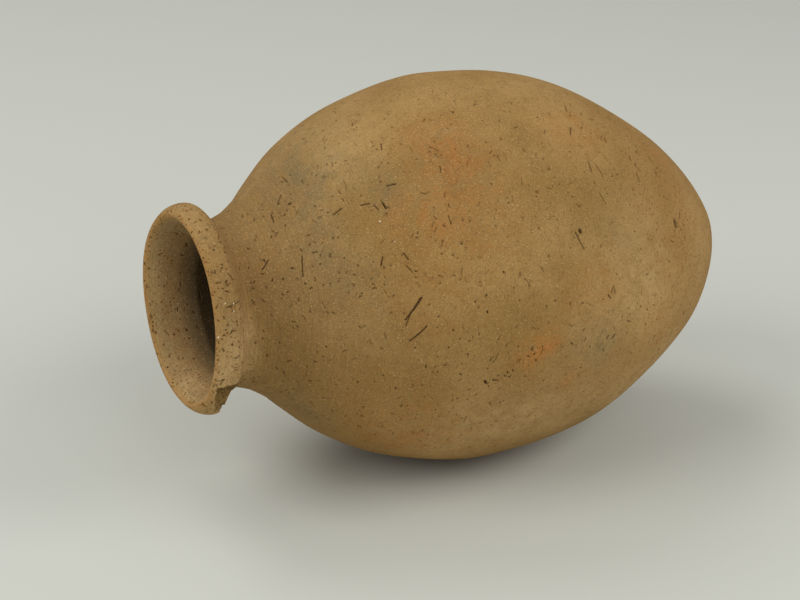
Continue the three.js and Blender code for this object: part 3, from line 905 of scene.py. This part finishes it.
def quartz():
    """Milky quartz sand: grains from cream to honey, less dry than the clay, so that they catch light."""
    made = bpy.data.materials.new("milky quartz sand")
    made.use_nodes = True
    tree = made.node_tree
    place = add(tree, "ShaderNodeTexCoord").outputs["Object"]
    shades = add(tree, "ShaderNodeTexNoise", {"Vector": place, "Scale": per_metre(2.5), "Detail": 1.0})
    tint = add(tree, "ShaderNodeMix", {
        0: shades.outputs[0], 6: srgb("ab8d5c"), 7: srgb("efe3c4")}, data_type="RGBA")
    surface = tree.nodes["Principled BSDF"]
    tree.links.new(tint.outputs[2], surface.inputs["Base Color"])
    surface.inputs["Roughness"].default_value = 0.55
    return made


# Grains show on the skin, off the break and away from the sides of the jar's box
laid = read(pot.data, "position", 3)
room = np.minimum(laid - np.array(cad_box[0]), np.array(cad_box[1]) - laid).min(1)
pot.data.attributes.new("showing", "FLOAT", "POINT").data.foreach_set(
    "value", ((room > GRAIN_ROOM) & (deep_in < 0.5) & (broken < 0.5)).astype(float))
skin_points = np.nonzero((read(pot.data, "along") < lip_way * MM) & (broken < 0.5))[0]
nearest = []
for grain_height, grain_turn in SEEN_GRAINS:
    east = np.sin(turn[skin_points] - math.radians(grain_turn)) * radius[skin_points]
    facing = np.cos(turn[skin_points] - math.radians(grain_turn)) < 0
    off = np.hypot(east, height[skin_points] - grain_height) + FAR_SIDE * facing
    nearest.append(skin_points[np.argmin(off)])
spots = bpy.data.meshes.new("seen_grains")
spots.from_pydata((laid[nearest] - SEEN_GRAIN_SINKS * whole_normals[nearest]).tolist(), [], [])
spots_object = bpy.data.objects.new("seen_grains", spots)
bpy.context.scene.collection.objects.link(spots_object)
grains = bpy.data.objects.new("quartz_grains", pot.data.copy())
bpy.context.scene.collection.objects.link(grains)
run_tree(grains, strewing_tree(), {
    "Seen grains": spots_object, "Grains per square metre": GRAINS_PER_SQUARE_METRE,
    "Smallest": GRAIN_SIZES[0], "Largest": GRAIN_SIZES[1], "Seen smallest": SEEN_GRAIN_SIZES[0],
    "Seen largest": SEEN_GRAIN_SIZES[1], "Sunk": -GRAIN_SINKS, "Seed": GRAIN_SEED, "Quartz": quartz()})
bpy.data.objects.remove(spots_object)
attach(grains, "root")

# The floor is a sheet of pale matt paper, wide enough to fill the picture, which looks even and
# without shine
FLOOR_WIDTH = 14
ground = bpy.data.materials.new("pale matt paper")
ground.use_nodes = True
ground.node_tree.nodes["Principled BSDF"].inputs["Base Color"].default_value = srgb("cbccc2")
ground.node_tree.nodes["Principled BSDF"].inputs["Roughness"].default_value = 0.9
ground.node_tree.nodes["Principled BSDF"].inputs["Specular IOR Level"].default_value = 0.2
bpy.ops.mesh.primitive_plane_add(size=FLOOR_WIDTH)
floor = bpy.context.object
floor.name = "floor"
floor.data.materials.append(ground)

# Soft studio light: large round lamps in front, to the left, to the right and high up behind the jar,
# and an even, slightly cool sky
world = bpy.data.worlds.new("studio")
bpy.context.scene.world = world
world.use_nodes = True
world.node_tree.nodes["Background"].inputs["Color"].default_value = srgb("f2f4f6")
world.node_tree.nodes["Background"].inputs["Strength"].default_value = 0.4


def lamp(name, place, target, size, power):
    """A round lamp (metres and watts) that shines at its target."""
    light = bpy.data.lights.new(name, "AREA")
    light.shape = "DISK"
    light.size = size
    light.energy = power
    made = bpy.data.objects.new(name, light)
    made.location = place
    made.rotation_euler = (Vector(target) - Vector(place)).to_track_quat("-Z", "Y").to_euler()
    bpy.context.scene.collection.objects.link(made)


lamp("front softbox", (-0.05, -1.7, 1.34), (0, 0, 0.08), 1.2, 8)
lamp("left softbox", (-1.65, -0.05, 1.45), (0, 0, 0.08), 1.4, 17)
lamp("right softbox", (1.3, -1.2, 1.4), (0, 0, 0.08), 1.2, 15)
lamp("top softbox", (-0.45, 1.4, 2.2), (0.1, 0.6, 0), 1.6, 16)

# The camera stands where the jar was seen from: in front of the mouth end and above it
CAMERA_PLACE, CAMERA_GAZE = (-0.4165, -0.7131, 0.4385), (0.4362, 0.8070, -0.3980)
SENSOR_WIDTH, FOCAL_LENGTH = 36, 76.5
camera_data = bpy.data.cameras.new("camera")
camera_data.sensor_width = SENSOR_WIDTH
camera_data.lens = FOCAL_LENGTH
camera_data.clip_start = 0.05
camera_data.clip_end = 50
camera = bpy.data.objects.new("camera", camera_data)
camera.location = CAMERA_PLACE
camera.rotation_euler = Vector(CAMERA_GAZE).to_track_quat("-Z", "Y").to_euler()
bpy.context.scene.collection.objects.link(camera)
bpy.context.scene.camera = camera
bpy.context.scene.view_settings.view_transform = "Standard"

bpy.data.objects.remove(pot)
